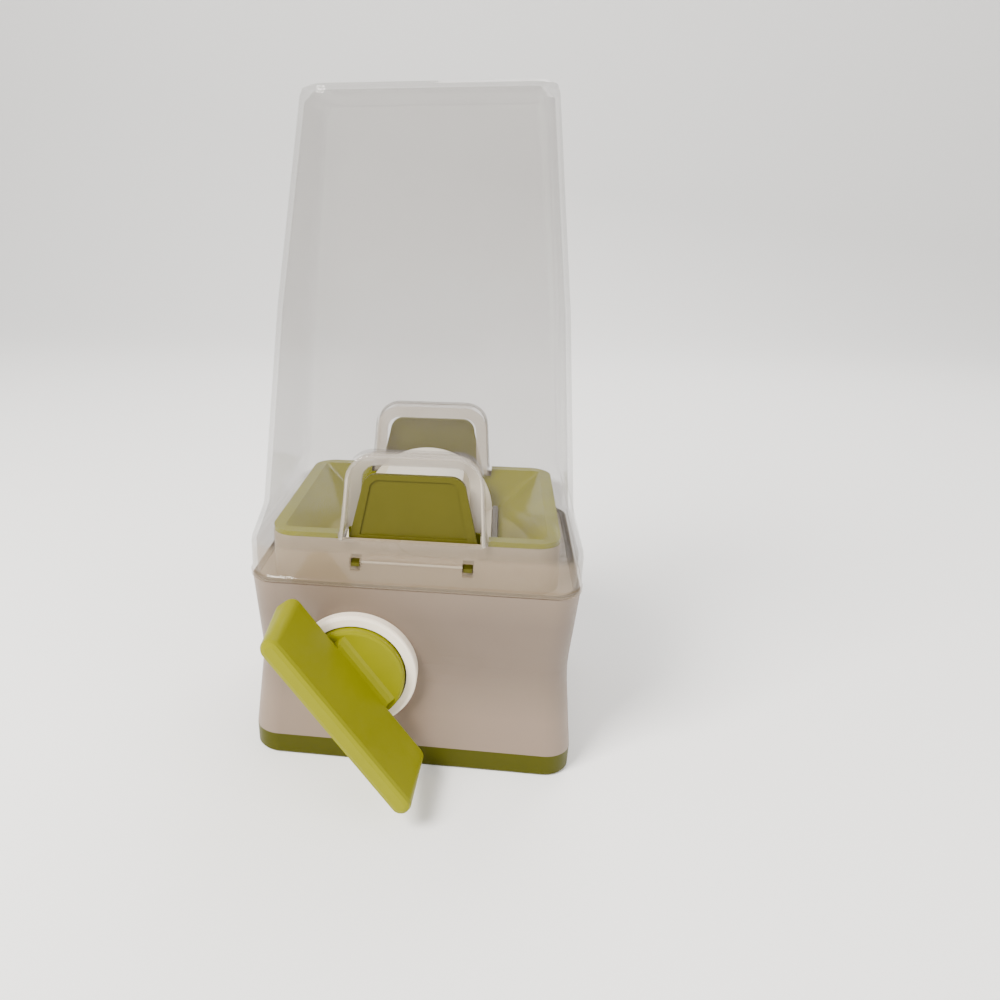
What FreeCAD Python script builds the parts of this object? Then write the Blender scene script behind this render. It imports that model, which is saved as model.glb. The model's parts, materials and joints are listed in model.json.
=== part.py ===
import FreeCAD, Part
import math
import os

V = FreeCAD.Vector

# Gravity-fed cereal dispenser. Millimetres, +Z up, front (knob) side towards -Y.
# The origin is the middle of the flat rim the foot stands on.

# Plan size of the housings, left to right and front to back
BODY_WIDTH = 150.0
BODY_DEPTH = 122.0
CORNER_RADIUS = 13.0

# Levels, from the table up
FOOT_HEIGHT = 11.0
BASE_HEIGHT = 80.0
SKIRT_HEIGHT = 17.0
SHOULDER_HEIGHT = 17.0
HOPPER_HEIGHT = 172.0

# How far each face draws in
FOOT_FLARE = 1.1
WAIST_INSET = 2.9
SHOULDER_INSET = 5.5
TOP_WIDTH = 104.0
TOP_DEPTH = 70.0
HOPPER_BOW = 1.4

# Wall thicknesses
BASE_WALL = 2.5
HOPPER_WALL = 2.2
DECK_THICKNESS = 2.5
COLLAR_WALL = 2.2
TRAY_WALL = 1.6
CRADLE_WALL = 2.2
CHEEK_THICKNESS = 3.0
CRADLE_FLANGE = 2.5
GASKET_THICKNESS = 0.6
SKIRT_BEAD = 0.6

# White collar that stands up inside the hopper's skirt
COLLAR_HEIGHT = 21.4
TRAY_RIM = 2.4
TRAY_INSET = 2.1
COLLAR_INSET_X = 10.0
COLLAR_INSET_Y = 4.8

# Metering drum and the gear pair that drives it
DRUM_RADIUS = 34.5
DRUM_RISE = 5.4
LATCH_ROOM = 29.0
DRUM_POCKETS = 3
POCKET_RADIUS = 15.0
KNOB_X = -24.5
GEAR_MODULE = 2.5
KNOB_GEAR_TEETH = 20
DRUM_GEAR_TEETH = 22
GEAR_WIDTH = 5.2
COVER_SKIN = 1.5
SHAFT_RADIUS = 4.0
KNOB_SHAFT_RADIUS = 4.5
SPOUT_DROP = 44.0

# Knob
KNOB_COLLAR_RADIUS = 28.5
KNOB_COLLAR_PROUD = 7.2
KNOB_HUB_RADIUS = 23.2
KNOB_HUB_PROUD = 4.0
KNOB_EDGE = 1.4
GRIP_LENGTH = 98.0
GRIP_THICKNESS = 13.2
GRIP_EDGE = 9.0
GRIP_CORNER = 4.4
GRIP_ROUND = 2.4
GRIP_REACH = 37.5
GRIP_STANDOFF = 4.5
GRIP_LEAN = 37.5

# Release latches, one in front and one behind
TAB_FOOT_WIDTH = 57.0
TAB_WIDTH = 46.0
TAB_HEIGHT = 29.6
TAB_THICKNESS = 2.5
TAB_CORNER = 7.0
NICHE_MARGIN = 5.6
NICHE_TOP_MARGIN = 7.4
PIN_RADIUS = 1.5
PIN_DROP = 11.0
HOOK_SPREAD = 24.9
HOOK_WIDTH = 3.8
HOOK_RISE = 10.1
HOOK_TALL = 1.7
HOOK_BITE = 1.1
LATCH_SWING = 4.0

# Screws and the posts they run in
POST_INSET_X = 22.0
POST_INSET_Y = 8.0
POST_RADIUS = 5.0
SCREW_RADIUS = 1.5
SCREW_HEAD = 3.0
SCREW_HEAD_HEIGHT = 1.8
EAR_RADIUS = 4.2
FLANGE_REACH = 9.5

# Clearances
RUN_FIT = 0.05
SEAT_FIT = 0.03
DRUM_CLEAR = 0.7
PART_CLEAR = 0.5
NICHE_CLEAR = 2.3
TAB_CLEAR = 1.0
PLATE_CLEAR = 0.4
BACKLASH = 0.2

# Derived levels
Z_FOOT = FOOT_HEIGHT
Z_BASE = Z_FOOT + BASE_HEIGHT
Z_WAIST = Z_FOOT + BASE_HEIGHT / 2.0
Z_SKIRT = Z_BASE + GASKET_THICKNESS
Z_SHOULDER = Z_SKIRT + SKIRT_HEIGHT
Z_BODY = Z_SHOULDER + SHOULDER_HEIGHT
Z_TOP = Z_BODY + HOPPER_HEIGHT
Z_COLLAR = Z_BASE + COLLAR_HEIGHT
Z_NICHE = Z_COLLAR + 0.6

# Derived plan sizes, as half widths
HX = BODY_WIDTH / 2.0
HY = BODY_DEPTH / 2.0
COLLAR_HX = HX - COLLAR_INSET_X
COLLAR_HY = HY - COLLAR_INSET_Y

# Derived gear and drum positions
CENTRE_DISTANCE = GEAR_MODULE * (KNOB_GEAR_TEETH + DRUM_GEAR_TEETH) / 2.0
DRUM_X = 0.0
DRUM_Z = Z_BASE + DRUM_RISE
KNOB_Z = DRUM_Z - math.sqrt(CENTRE_DISTANCE ** 2 - (DRUM_X - KNOB_X) ** 2)
KNOB_GEAR_TIP = GEAR_MODULE * (KNOB_GEAR_TEETH / 2.0 + 1.0)
DRUM_GEAR_TIP = GEAR_MODULE * (DRUM_GEAR_TEETH / 2.0 + 1.0)
HOUSE_WALL = 1.6
HOUSE_CLEAR = 0.9
KNOB_HOUSE = KNOB_GEAR_TIP + HOUSE_CLEAR
DRUM_HOUSE = DRUM_GEAR_TIP + HOUSE_CLEAR
DRUM_HALF = HY - LATCH_ROOM
CRADLE_R = DRUM_RADIUS + DRUM_CLEAR
CRADLE_HX = CRADLE_R + CRADLE_WALL
CHEEK_IN = DRUM_HALF + PART_CLEAR
CHEEK_OUT = CHEEK_IN + CHEEK_THICKNESS
BUSH_PROUD = 0.6
CHEEK_SKIN = 0.8
BUSH_WALL = 3.0
GEAR_Y0 = CHEEK_OUT + BUSH_PROUD + 0.1
GEAR_Y1 = GEAR_Y0 + GEAR_WIDTH
COVER_IN = GEAR_Y1 + PART_CLEAR
COVER_OUT = COVER_IN + COVER_SKIN
THROAT_Z = DRUM_Z + 1.6
SPOUT_HX = 15.0
SPOUT_Z = DRUM_Z - SPOUT_DROP

# Derived latch positions, as distances from the middle plane
PIN_Z = Z_BASE - PIN_DROP
Z_TAB = Z_COLLAR + TAB_HEIGHT
HOOK_Z = Z_BASE + HOOK_RISE
NICHE_BACK = COVER_OUT + NICHE_CLEAR
NICHE_WALL = 1.7
PLATE_BACK = NICHE_BACK + TAB_CLEAR + math.sin(math.radians(LATCH_SWING)) * (Z_TAB - PIN_Z)
PLATE_TOP_Y = PLATE_BACK + TAB_THICKNESS - 0.55
PLATE_LOW_Y = COLLAR_HY - COLLAR_WALL - PLATE_CLEAR
PIN_Y = PLATE_LOW_Y - TAB_THICKNESS / 2.0 - 2.8
HOOK_TIP = HY - HOPPER_WALL + HOOK_BITE
EAR_X = TAB_FOOT_WIDTH / 2.0 + 2.5
NICHE_FOOT = TAB_FOOT_WIDTH / 2.0 + NICHE_MARGIN * 0.4


def rounded_wire(half_x, half_y, radius, z, mid_y=0.0):
    """Rounded rectangle in a level plane; no radius gives sharp corners."""
    if radius < 0.01:
        ends = [(-1, -1), (1, -1), (1, 1), (-1, 1), (-1, -1)]
        return Part.makePolygon([V(a * half_x, b * half_y + mid_y, z) for a, b in ends])
    k = radius * math.sqrt(0.5)
    ax = half_x - radius
    ay = half_y - radius
    p = lambda x, y: V(x, y + mid_y, z)
    edges = []
    edges.append(Part.makeLine(p(-ax, -half_y), p(ax, -half_y)))
    edges.append(Part.Arc(p(ax, -half_y), p(ax + k, -ay - k), p(half_x, -ay)).toShape())
    edges.append(Part.makeLine(p(half_x, -ay), p(half_x, ay)))
    edges.append(Part.Arc(p(half_x, ay), p(ax + k, ay + k), p(ax, half_y)).toShape())
    edges.append(Part.makeLine(p(ax, half_y), p(-ax, half_y)))
    edges.append(Part.Arc(p(-ax, half_y), p(-ax - k, ay + k), p(-half_x, ay)).toShape())
    edges.append(Part.makeLine(p(-half_x, ay), p(-half_x, -ay)))
    edges.append(Part.Arc(p(-half_x, -ay), p(-ax - k, -ay - k), p(-ax, -half_y)).toShape())
    return Part.Wire(edges)


def is_straight(edge):
    """Whether an edge runs straight between its ends."""
    ends = [corner.Point for corner in edge.Vertexes]
    return len(ends) == 2 and edge.Length - ends[0].distanceToPoint(ends[1]) < 1.0e-6


def plain_loft(wires):
    """Ruled solid through closed outlines, with its flat sides held as true planes."""
    faces = []
    for face in Part.makeLoft(wires, True, True).Faces:
        points = [corner.Point for corner in face.OuterWire.OrderedVertexes]
        if all(is_straight(edge) for edge in face.Edges):
            face = Part.Face(Part.makePolygon(points + points[:1]))
        faces.append(face)
    shell = Part.Shell(faces)
    shell.sewShape()
    body = Part.Solid(shell)
    if body.Volume < 0.0:
        body.reverse()
    return body


def stack(sections):
    """Solid through level sections given as (z, half x, half y, radius)."""
    return plain_loft([rounded_wire(hx, hy, r, z) for z, hx, hy, r in sections])


def slab(half_x, half_y, radius, z0, z1, mid_y=0.0):
    """Upright block with rounded corners."""
    face = Part.Face(rounded_wire(half_x, half_y, radius, z0, mid_y))
    return face.extrude(V(0, 0, z1 - z0))


def box(x0, x1, y0, y1, z0, z1):
    """Plain block from its six limits."""
    return Part.makeBox(x1 - x0, y1 - y0, z1 - z0, V(x0, y0, z0))


def rod(x, z, radius, y0, y1):
    """Round bar lying front to back."""
    return Part.makeCylinder(radius, y1 - y0, V(x, y0, z), V(0, 1, 0))


def peg(x, y, radius, z0, z1):
    """Upright round bar."""
    return Part.makeCylinder(radius, z1 - z0, V(x, y, z0), V(0, 0, 1))


def hexagon(x, y, z, radius, along_y):
    """Six-sided outline round a point, standing across Y or lying level."""
    pts = []
    for n in range(7):
        a = math.radians(60.0 * n + 30.0)
        u = radius * math.cos(a)
        w = radius * math.sin(a)
        pts.append(V(x + u, y, z + w) if along_y else V(x + u, y + w, z))
    return Part.Face(Part.makePolygon(pts))


def hex_rod(x, z, radius, y0, y1):
    """Six-sided bar lying front to back; the radius reaches its corners."""
    return hexagon(x, y0, z, radius, True).extrude(V(0, y1 - y0, 0))


def hex_peg(x, y, radius, z0, z1):
    """Six-sided upright bar; the radius reaches its corners."""
    return hexagon(x, y, z0, radius, False).extrude(V(0, 0, z1 - z0))


def dome_rod(radius, y0, y1, edge):
    """Round bar on the knob's axis whose front rim is rounded in two steps."""
    nip = edge * (1.0 - math.sqrt(0.5))
    pts = [V(0, y0, 0), V(radius - edge, y0, 0), V(radius - nip, y0 + nip, 0)]
    pts += [V(radius, y0 + edge, 0), V(radius, y1, 0), V(0, y1, 0), V(0, y0, 0)]
    return Part.Face(Part.makePolygon(pts)).revolve(V(0, 0, 0), V(0, 1, 0), 360.0)


def fuse_all(shapes):
    """One solid from overlapping shapes."""
    body = shapes[0].multiFuse(shapes[1:])
    return body.removeSplitter()


def turned(shape):
    """The same shape moved from the front of the object to the rear."""
    copy = shape.copy()
    copy.rotate(V(0, 0, 0), V(0, 0, 1), 180.0)
    return copy


def save(name, shape):
    """Write one named piece."""
    shape.exportStep("parts/" + name + ".step")


def base_sections(inset, z_end):
    """Level sections of the base up to one height, drawn in by the given amount."""
    rows = []
    blend = 7.0
    low = HX + FOOT_FLARE
    waist = HX - WAIST_INSET
    levels = [Z_FOOT, Z_WAIST - blend, Z_WAIST - blend * 0.35]
    levels += [Z_WAIST + blend * 0.35, Z_WAIST + blend, z_end]
    if inset > 0.0:
        levels = [Z_FOOT, Z_WAIST, z_end]
    for z in levels:
        below = z < Z_WAIST
        span = (Z_WAIST - Z_FOOT) if below else (Z_BASE - Z_WAIST)
        edge = low if below else HX
        share = abs(z - Z_WAIST) / span
        half = waist + (edge - waist) * share
        if abs(z - Z_WAIST) < blend * 0.9:
            half += (edge - waist) * 0.045
        cut = HX - half + inset
        rows.append((z, HX - cut, HY - cut, CORNER_RADIUS - inset * 0.8))
    return rows


def base_outer():
    """Full outside volume of the base."""
    return stack(base_sections(0.0, Z_BASE))


def screw_spots():
    """Screws that hold the foot to the base, near its corners."""
    x = HX - POST_INSET_X
    y = HY - POST_INSET_Y
    return [(x, y), (-x, y), (x, -y), (-x, -y)]


def build_base():
    """Waisted white housing with the knob hole, a ledge for the deck and screw posts."""
    ledge_top = Z_BASE - DECK_THICKNESS
    ledge_low = ledge_top - 3.0
    body = base_outer().cut(stack(base_sections(BASE_WALL, ledge_low)))
    lip = BASE_WALL + 2.6
    body = body.cut(slab(HX - lip, HY - lip, CORNER_RADIUS - 4.0, ledge_low - 0.5, ledge_top + 0.5))
    seat = BASE_WALL * 0.6
    body = body.cut(slab(HX - seat, HY - seat, CORNER_RADIUS - 2.0, ledge_top, Z_BASE + 1.0))
    posts = []
    for x, y in screw_spots():
        wall = math.copysign(HY - seat, y)
        posts.append(hex_peg(x, y, POST_RADIUS, Z_FOOT, Z_FOOT + 15.0))
        posts.append(box(x - 1.5, x + 1.5, min(y, wall), max(y, wall), Z_FOOT, Z_FOOT + 15.0))
    body = fuse_all([body] + posts)
    for x, y in screw_spots():
        body = body.cut(hex_peg(x, y, SCREW_RADIUS + SEAT_FIT, Z_FOOT - 1.0, Z_FOOT + 11.0))
    return body.cut(rod(KNOB_X, KNOB_Z, KNOB_COLLAR_RADIUS + SEAT_FIT, -HY - 10.0, -HY + 20.0))


def build_foot():
    """Lime foot the dispenser stands on: a shallow tray with the outlet in its floor."""
    flare = HX + FOOT_FLARE
    deep = HY + FOOT_FLARE
    rows = [(0.0, flare - 1.2, deep - 1.2, CORNER_RADIUS - 1.0)]
    rows.append((1.2, flare - 0.2, deep - 0.2, CORNER_RADIUS))
    rows.append((Z_FOOT, flare, deep, CORNER_RADIUS))
    body = stack(rows)
    body = body.cut(slab(flare - 4.2, deep - 4.2, CORNER_RADIUS - 3.0, -1.0, 1.5))
    body = body.cut(slab(flare - 3.2, deep - 3.2, CORNER_RADIUS - 3.0, 4.0, Z_FOOT + 1.0))
    body = fuse_all([body] + [hex_peg(x, y, POST_RADIUS, 3.0, Z_FOOT) for x, y in screw_spots()])
    for x, y in screw_spots():
        body = body.cut(peg(x, y, SCREW_HEAD + 0.5, -1.0, 6.0))
        body = body.cut(hex_peg(x, y, SCREW_RADIUS + 0.4, 5.0, Z_FOOT + 1.0))
    return body.cut(box(-SPOUT_HX - 0.1, SPOUT_HX + 0.1, -CHEEK_IN - 0.1, CHEEK_IN + 0.1, -1.0, 8.0))


def build_base_screws():
    """Four hexagon-head screws, driven up through the foot; threads are left out."""
    out = []
    for x, y in screw_spots():
        head = hex_peg(x, y, SCREW_HEAD, 6.0 - SCREW_HEAD_HEIGHT, 6.0)
        out.append(head.fuse(hex_peg(x, y, SCREW_RADIUS, 6.0, Z_FOOT + 9.5)).removeSplitter())
    return Part.makeCompound(out)


def wall_marks():
    """Raised rib and shallow pad on the collar's front, between the hook slots."""
    reach = HOOK_SPREAD - HOOK_WIDTH / 2.0 - 1.2
    back = -COLLAR_HY + 0.5
    mid = HOOK_Z + HOOK_TALL / 2.0
    rib = box(-reach, reach, -COLLAR_HY - 0.5, back, mid - 0.5, mid + 0.5)
    low = mid + 1.4
    top = mid + 3.6
    pts = [V(-reach + 2.0, back, low), V(reach - 2.0, back, low), V(reach - 5.0, back, top)]
    pts += [V(-reach + 5.0, back, top), V(-reach + 2.0, back, low)]
    pad = Part.Face(Part.makePolygon(pts)).extrude(V(0, -1.0, 0))
    return [rib, pad, turned(rib), turned(pad)]


def build_collar():
    """Bright white deck and upstanding collar that the hopper's skirt drops over."""
    z0 = Z_BASE - DECK_THICKNESS
    edge = BASE_WALL * 0.6 + 0.15
    deck = slab(HX - edge, HY - edge, CORNER_RADIUS - 2.2, z0, Z_BASE)
    wall = slab(COLLAR_HX, COLLAR_HY, CORNER_RADIUS - 1.5, Z_BASE - 1.0, Z_COLLAR)
    well = slab(COLLAR_HX - COLLAR_WALL, COLLAR_HY - COLLAR_WALL, CORNER_RADIUS - 3.5, Z_BASE, Z_COLLAR + 1.0)
    ears = []
    for x0 in (-EAR_X - 3.0, EAR_X):
        for y in (-PIN_Y, PIN_Y):
            ears.append(box(x0, x0 + 3.0, y - 3.6, y + 3.6, PIN_Z - 4.0, z0 + 0.5))
    body = fuse_all([deck, wall.cut(well)] + ears + wall_marks())
    half = (CHEEK_OUT + COVER_OUT + 1.8) / 2.0
    y0 = (CHEEK_OUT - COVER_OUT) / 2.0 - half
    body = body.cut(box(-CRADLE_HX - 0.5, CRADLE_HX + 0.5, y0, y0 + 2.0 * half, z0 - 1.0, Z_BASE + 1.0))
    left = house_left(z0) - 0.6
    body = body.cut(box(left, 0.0, y0, -CHEEK_IN + 0.5, z0 - 1.0, Z_BASE + 1.0))
    slot = TAB_FOOT_WIDTH / 2.0 + 1.2
    reach = COLLAR_HY - COLLAR_WALL
    body = body.cut(box(-slot, slot, -reach, -COVER_OUT + 3.0, z0 - 1.0, Z_BASE + 0.01))
    body = body.cut(box(-slot, slot, COVER_OUT - 1.0, reach, z0 - 1.0, Z_BASE + 0.01))
    gap = HOOK_WIDTH / 2.0 + 0.6
    for x in (-HOOK_SPREAD, HOOK_SPREAD):
        body = body.cut(box(x - gap, x + gap, -HY, HY, HOOK_Z - 1.8, HOOK_Z + HOOK_TALL + 2.6))
    seat = PIN_RADIUS + SEAT_FIT
    for y in (-PIN_Y, PIN_Y):
        body = body.cut(box(-HX, HX, y - seat, y + seat, PIN_Z - 5.0, PIN_Z + seat))
    for x, y in cradle_spots():
        body = body.cut(hex_peg(x, y, SCREW_RADIUS + SEAT_FIT, z0 - 1.0, Z_BASE - 0.6))
    return body


def cradle_spots():
    """Screws that hang the drum cradle from the deck."""
    x = CRADLE_HX + FLANGE_REACH / 2.0
    y = DRUM_HALF - 2.0 * POST_RADIUS
    return [(x, y), (-x, y), (x, -y), (-x, -y)]


def build_cradle_screws():
    """Four short screws under the deck, with hexagon heads."""
    out = []
    deck = Z_BASE - DECK_THICKNESS
    under = deck - CRADLE_FLANGE
    for x, y in cradle_spots():
        shank = hex_peg(x, y, SCREW_RADIUS, under, Z_BASE - 0.7)
        head = hex_peg(x, y, SCREW_HEAD, under - SCREW_HEAD_HEIGHT, under)
        out.append(shank.fuse(head).removeSplitter())
    return Part.makeCompound(out)


def build_gasket():
    """Thin soft ring between the hopper's rim and the base."""
    ring = slab(HX - 0.7, HY - 0.7, CORNER_RADIUS - 0.7, Z_BASE, Z_SKIRT)
    return ring.cut(slab(HX - 3.4, HY - 3.4, CORNER_RADIUS - 3.0, Z_BASE - 1.0, Z_SKIRT + 1.0))


def arch(half_foot, half_top, z0, z1, corner, y0, y1):
    """Upright arch-shaped block: wide foot, drawn in to a top with round corners."""
    zc = z1 - corner
    k = corner * (1.0 - math.sqrt(0.5))
    top = half_top - corner
    a = V(-half_foot, y0, z0)
    b = V(half_foot, y0, z0)
    c = V(half_top, y0, zc)
    d = V(top, y0, z1)
    e = V(-top, y0, z1)
    f = V(-half_top, y0, zc)
    edges = [Part.makeLine(a, b), Part.makeLine(b, c)]
    edges.append(Part.Arc(c, V(half_top - k, y0, z1 - k), d).toShape())
    edges.append(Part.makeLine(d, e))
    edges.append(Part.Arc(e, V(-half_top + k, y0, z1 - k), f).toShape())
    edges.append(Part.makeLine(f, a))
    return Part.Face(Part.Wire(edges)).extrude(V(0, y1 - y0, 0))


def hopper_sections(inset, drop):
    """Level sections of the hopper from skirt to top, drawn in by the wall."""
    outside = inset == 0.0
    skew = inset * 1.05
    r = CORNER_RADIUS - inset * 0.8
    neck_x = HX - SHOULDER_INSET
    neck_y = HY - SHOULDER_INSET
    rows = []
    if outside:
        rows.append((Z_SKIRT, HX + SKIRT_BEAD, HY + SKIRT_BEAD, r))
        rows.append((Z_SKIRT + 2.2, HX + SKIRT_BEAD, HY + SKIRT_BEAD, r))
        rows.append((Z_SKIRT + 2.9, HX, HY, r))
        rows.append((Z_SHOULDER - 1.2, HX, HY, r))
        rows.append((Z_SHOULDER + 1.0, HX - 0.35, HY - 0.35, r))
        rows.append((Z_BODY - 2.0, neck_x + 0.35, neck_y + 0.35, r))
    else:
        rows.append((Z_SKIRT - 1.0, HX - inset, HY - inset, r))
        rows.append((Z_SHOULDER - 0.4, HX - inset, HY - inset, r))
        rows.append((Z_BODY - 1.0, neck_x + 0.2 - skew, neck_y + 0.2 - skew, r))
    z_end = Z_TOP - drop
    round_r = 4.0
    for t in (0.0, 0.5, 1.0):
        z = Z_BODY + 2.0 + t * (z_end - round_r - Z_BODY - 2.0)
        share = (z - Z_BODY) / (Z_TOP - Z_BODY)
        bow = HOPPER_BOW * 4.0 * share * (1.0 - share)
        hx = neck_x + (TOP_WIDTH / 2.0 - neck_x) * share + bow - inset
        hy = neck_y + (TOP_DEPTH / 2.0 - neck_y) * share + bow - inset
        rows.append((z, hx, hy, r))
    for turn in (45.0, 90.0) if outside else (90.0,):
        pull = round_r * (1.0 - math.cos(math.radians(turn)))
        lift = round_r * math.sin(math.radians(turn))
        rows.append((z_end - round_r + lift, hx - pull, hy - pull, max(r - pull, 2.0)))
    return rows


def build_hopper():
    """Clear hopper: tapered box closed at the top, with a skirt and two latch niches."""
    outer = stack(hopper_sections(0.0, 0.0))
    body = outer.cut(stack(hopper_sections(HOPPER_WALL, HOPPER_WALL)))
    foot = NICHE_FOOT
    top = TAB_WIDTH / 2.0 + NICHE_MARGIN
    z1 = Z_TAB + NICHE_TOP_MARGIN
    corner = TAB_CORNER + 3.0
    tub = arch(foot + NICHE_WALL, top + NICHE_WALL, Z_NICHE, z1 + NICHE_WALL, corner + NICHE_WALL, -HY - 5.0,
               -NICHE_BACK + NICHE_WALL)
    hole = arch(foot, top, Z_NICHE - 1.0, z1, corner, -HY - 6.0, -NICHE_BACK)
    hole = hole.cut(box(-HX, HX, -HY - 9.0, 0.0, 0.0, Z_NICHE))
    for spin in (False, True):
        tub_here = (turned(tub) if spin else tub).common(outer)
        hole_here = turned(hole) if spin else hole
        body = body.fuse(tub_here).removeSplitter().cut(hole_here)
    half = HOOK_WIDTH / 2.0 + 0.4
    for x in (-HOOK_SPREAD, HOOK_SPREAD):
        body = body.cut(box(x - half, x + half, -HY - 2.0, HY + 2.0, HOOK_Z - 1.9, HOOK_Z + HOOK_TALL + 2.8))
    return body


def build_tray():
    """Green funnel tray: rim on the collar, four slopes down to the drum's throat."""
    mid = (CHEEK_OUT - COVER_OUT) / 2.0
    half_y = (CHEEK_OUT + COVER_OUT + 1.0) / 2.0
    half_x = CRADLE_HX + 0.2
    rim = Z_COLLAR + TRAY_RIM
    ix = COLLAR_HX - COLLAR_WALL - TRAY_INSET
    iy = COLLAR_HY - COLLAR_WALL - TRAY_INSET
    corner = 3.0
    top_out = rounded_wire(ix, iy, corner, Z_COLLAR + 0.2)
    low_out = rounded_wire(half_x + TRAY_WALL, half_y + TRAY_WALL, corner, THROAT_Z, mid)
    top_in = rounded_wire(ix - TRAY_WALL, iy - TRAY_WALL, corner, rim + 0.1)
    low_in = rounded_wire(half_x, half_y, corner, THROAT_Z - 0.1, mid)
    funnel = plain_loft([top_out, low_out])
    plate = slab(COLLAR_HX - 0.2, COLLAR_HY - 0.2, CORNER_RADIUS - 1.7, Z_COLLAR, rim)
    body = plate.fuse(funnel).cut(plain_loft([low_in, top_in]))
    below = funnel.fuse(box(-HX, HX, -HY, HY, Z_COLLAR - 0.5, rim + 1.0))
    gate = NICHE_FOOT + NICHE_WALL + 0.8
    near = NICHE_BACK - NICHE_WALL - PART_CLEAR
    lip = NICHE_BACK + 0.4
    lips = []
    for turn in (False, True):
        hood = box(-gate, gate, -HY, -near, Z_COLLAR, rim + 1.0)
        front = box(-gate, gate, -HY, -lip - 1.5, 0.0, rim + 1.0)
        strip = box(-NICHE_FOOT + 1.0, NICHE_FOOT - 1.0, -lip - 1.5, -lip, Z_COLLAR - 7.0, rim)
        strip = turned(strip) if turn else strip
        body = body.cut(turned(hood) if turn else hood).cut(turned(front) if turn else front)
        lips.append(strip.common(below))
    return fuse_all([body] + lips)


def hull(radius_drum, radius_knob, y0, y1):
    """Plate or block that wraps the two gears."""
    dx = KNOB_X - DRUM_X
    dz = KNOB_Z - DRUM_Z
    far = math.hypot(dx, dz)
    nx = -dz / far
    nz = dx / far
    a = V(DRUM_X + nx * radius_drum, y0, DRUM_Z + nz * radius_drum)
    b = V(KNOB_X + nx * radius_knob, y0, KNOB_Z + nz * radius_knob)
    c = V(KNOB_X - nx * radius_knob, y0, KNOB_Z - nz * radius_knob)
    d = V(DRUM_X - nx * radius_drum, y0, DRUM_Z - nz * radius_drum)
    web = Part.Face(Part.makePolygon([a, b, c, d, a])).extrude(V(0, y1 - y0, 0))
    drum = rod(DRUM_X, DRUM_Z, radius_drum, y0, y1)
    knob = rod(KNOB_X, KNOB_Z, radius_knob, y0, y1)
    return fuse_all([drum, web, knob])


def house_left(level):
    """Leftmost point of the gear housing at one level."""
    nx = (KNOB_Z - DRUM_Z) / CENTRE_DISTANCE
    nz = (DRUM_X - KNOB_X) / CENTRE_DISTANCE
    high_x = DRUM_X + nx * (DRUM_HOUSE + HOUSE_WALL)
    high_z = DRUM_Z + nz * (DRUM_HOUSE + HOUSE_WALL)
    low_x = KNOB_X + nx * (KNOB_HOUSE + HOUSE_WALL)
    low_z = KNOB_Z + nz * (KNOB_HOUSE + HOUSE_WALL)
    return high_x + (low_x - high_x) * (high_z - level) / (high_z - low_z)


def cover_spots():
    """Screws round the gear cover, clear of both gears."""
    out = []
    reach = KNOB_HOUSE + EAR_RADIUS - 0.6
    for turn in (155.0, 285.0):
        a = math.radians(turn)
        out.append((KNOB_X + reach * math.cos(a), KNOB_Z + reach * math.sin(a)))
    a = math.radians(-35.0)
    reach = DRUM_HOUSE + EAR_RADIUS - 0.6
    out.append((DRUM_X + reach * math.cos(a), DRUM_Z + reach * math.sin(a)))
    return out


def gear_plate(y0, y1):
    """Outline shared by the front cheek and the gear cover, with its screw ears."""
    body = [hull(DRUM_HOUSE + HOUSE_WALL, KNOB_HOUSE + HOUSE_WALL, y0, y1)]
    body += [hex_rod(x, z, EAR_RADIUS, y0, y1) for x, z in cover_spots()]
    return fuse_all(body)


def build_cradle():
    """Fixed cradle: two cheeks, a round trough under the drum and a square spout."""
    trough = rod(DRUM_X, DRUM_Z, CRADLE_HX, -CHEEK_OUT, CHEEK_OUT)
    trough = trough.cut(box(-HX, HX, -HY, HY, DRUM_Z, DRUM_Z + 2 * DRUM_RADIUS))
    walls = box(-CRADLE_HX, CRADLE_HX, -CHEEK_OUT, CHEEK_OUT, DRUM_Z - 6.0, THROAT_Z)
    thick = SPOUT_HX + 2.0
    spout = box(-thick, thick, -CHEEK_OUT, CHEEK_OUT, SPOUT_Z, DRUM_Z - 25.0)
    top = Z_BASE - DECK_THICKNESS
    wide = CRADLE_HX + FLANGE_REACH
    flange = box(-wide, wide, -DRUM_HALF + 4.0, DRUM_HALF - 4.0, top - CRADLE_FLANGE, top)
    rear = rod(DRUM_X, DRUM_Z, DRUM_HOUSE + HOUSE_WALL, CHEEK_IN, CHEEK_OUT)
    body = fuse_all([trough, walls, spout, flange, rear, gear_plate(-CHEEK_OUT, -CHEEK_IN)])
    body = body.cut(rod(DRUM_X, DRUM_Z, CRADLE_R, -CHEEK_IN, CHEEK_IN))
    body = body.cut(box(-CRADLE_R, CRADLE_R, -CHEEK_IN, CHEEK_IN, DRUM_Z, DRUM_Z + 2.0 * CRADLE_R))
    body = body.cut(box(-SPOUT_HX, SPOUT_HX, -CHEEK_IN, CHEEK_IN, SPOUT_Z - 1.0, DRUM_Z))
    seat = SHAFT_RADIUS + BUSH_WALL + SEAT_FIT
    body = body.cut(hex_rod(DRUM_X, DRUM_Z, seat, -HY, CHEEK_OUT - CHEEK_SKIN))
    seat = KNOB_SHAFT_RADIUS + BUSH_WALL + SEAT_FIT
    body = body.cut(hex_rod(KNOB_X, KNOB_Z, seat, -HY, -CHEEK_IN + 1.0))
    for x, z in cover_spots():
        body = body.cut(hex_rod(x, z, SCREW_RADIUS + SEAT_FIT, -HY, -CHEEK_IN + 0.5))
    for x, y in cradle_spots():
        body = body.cut(hex_peg(x, y, SCREW_RADIUS + 0.3, top - CRADLE_FLANGE - 1.0, top + 1.0))
    return body


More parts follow.
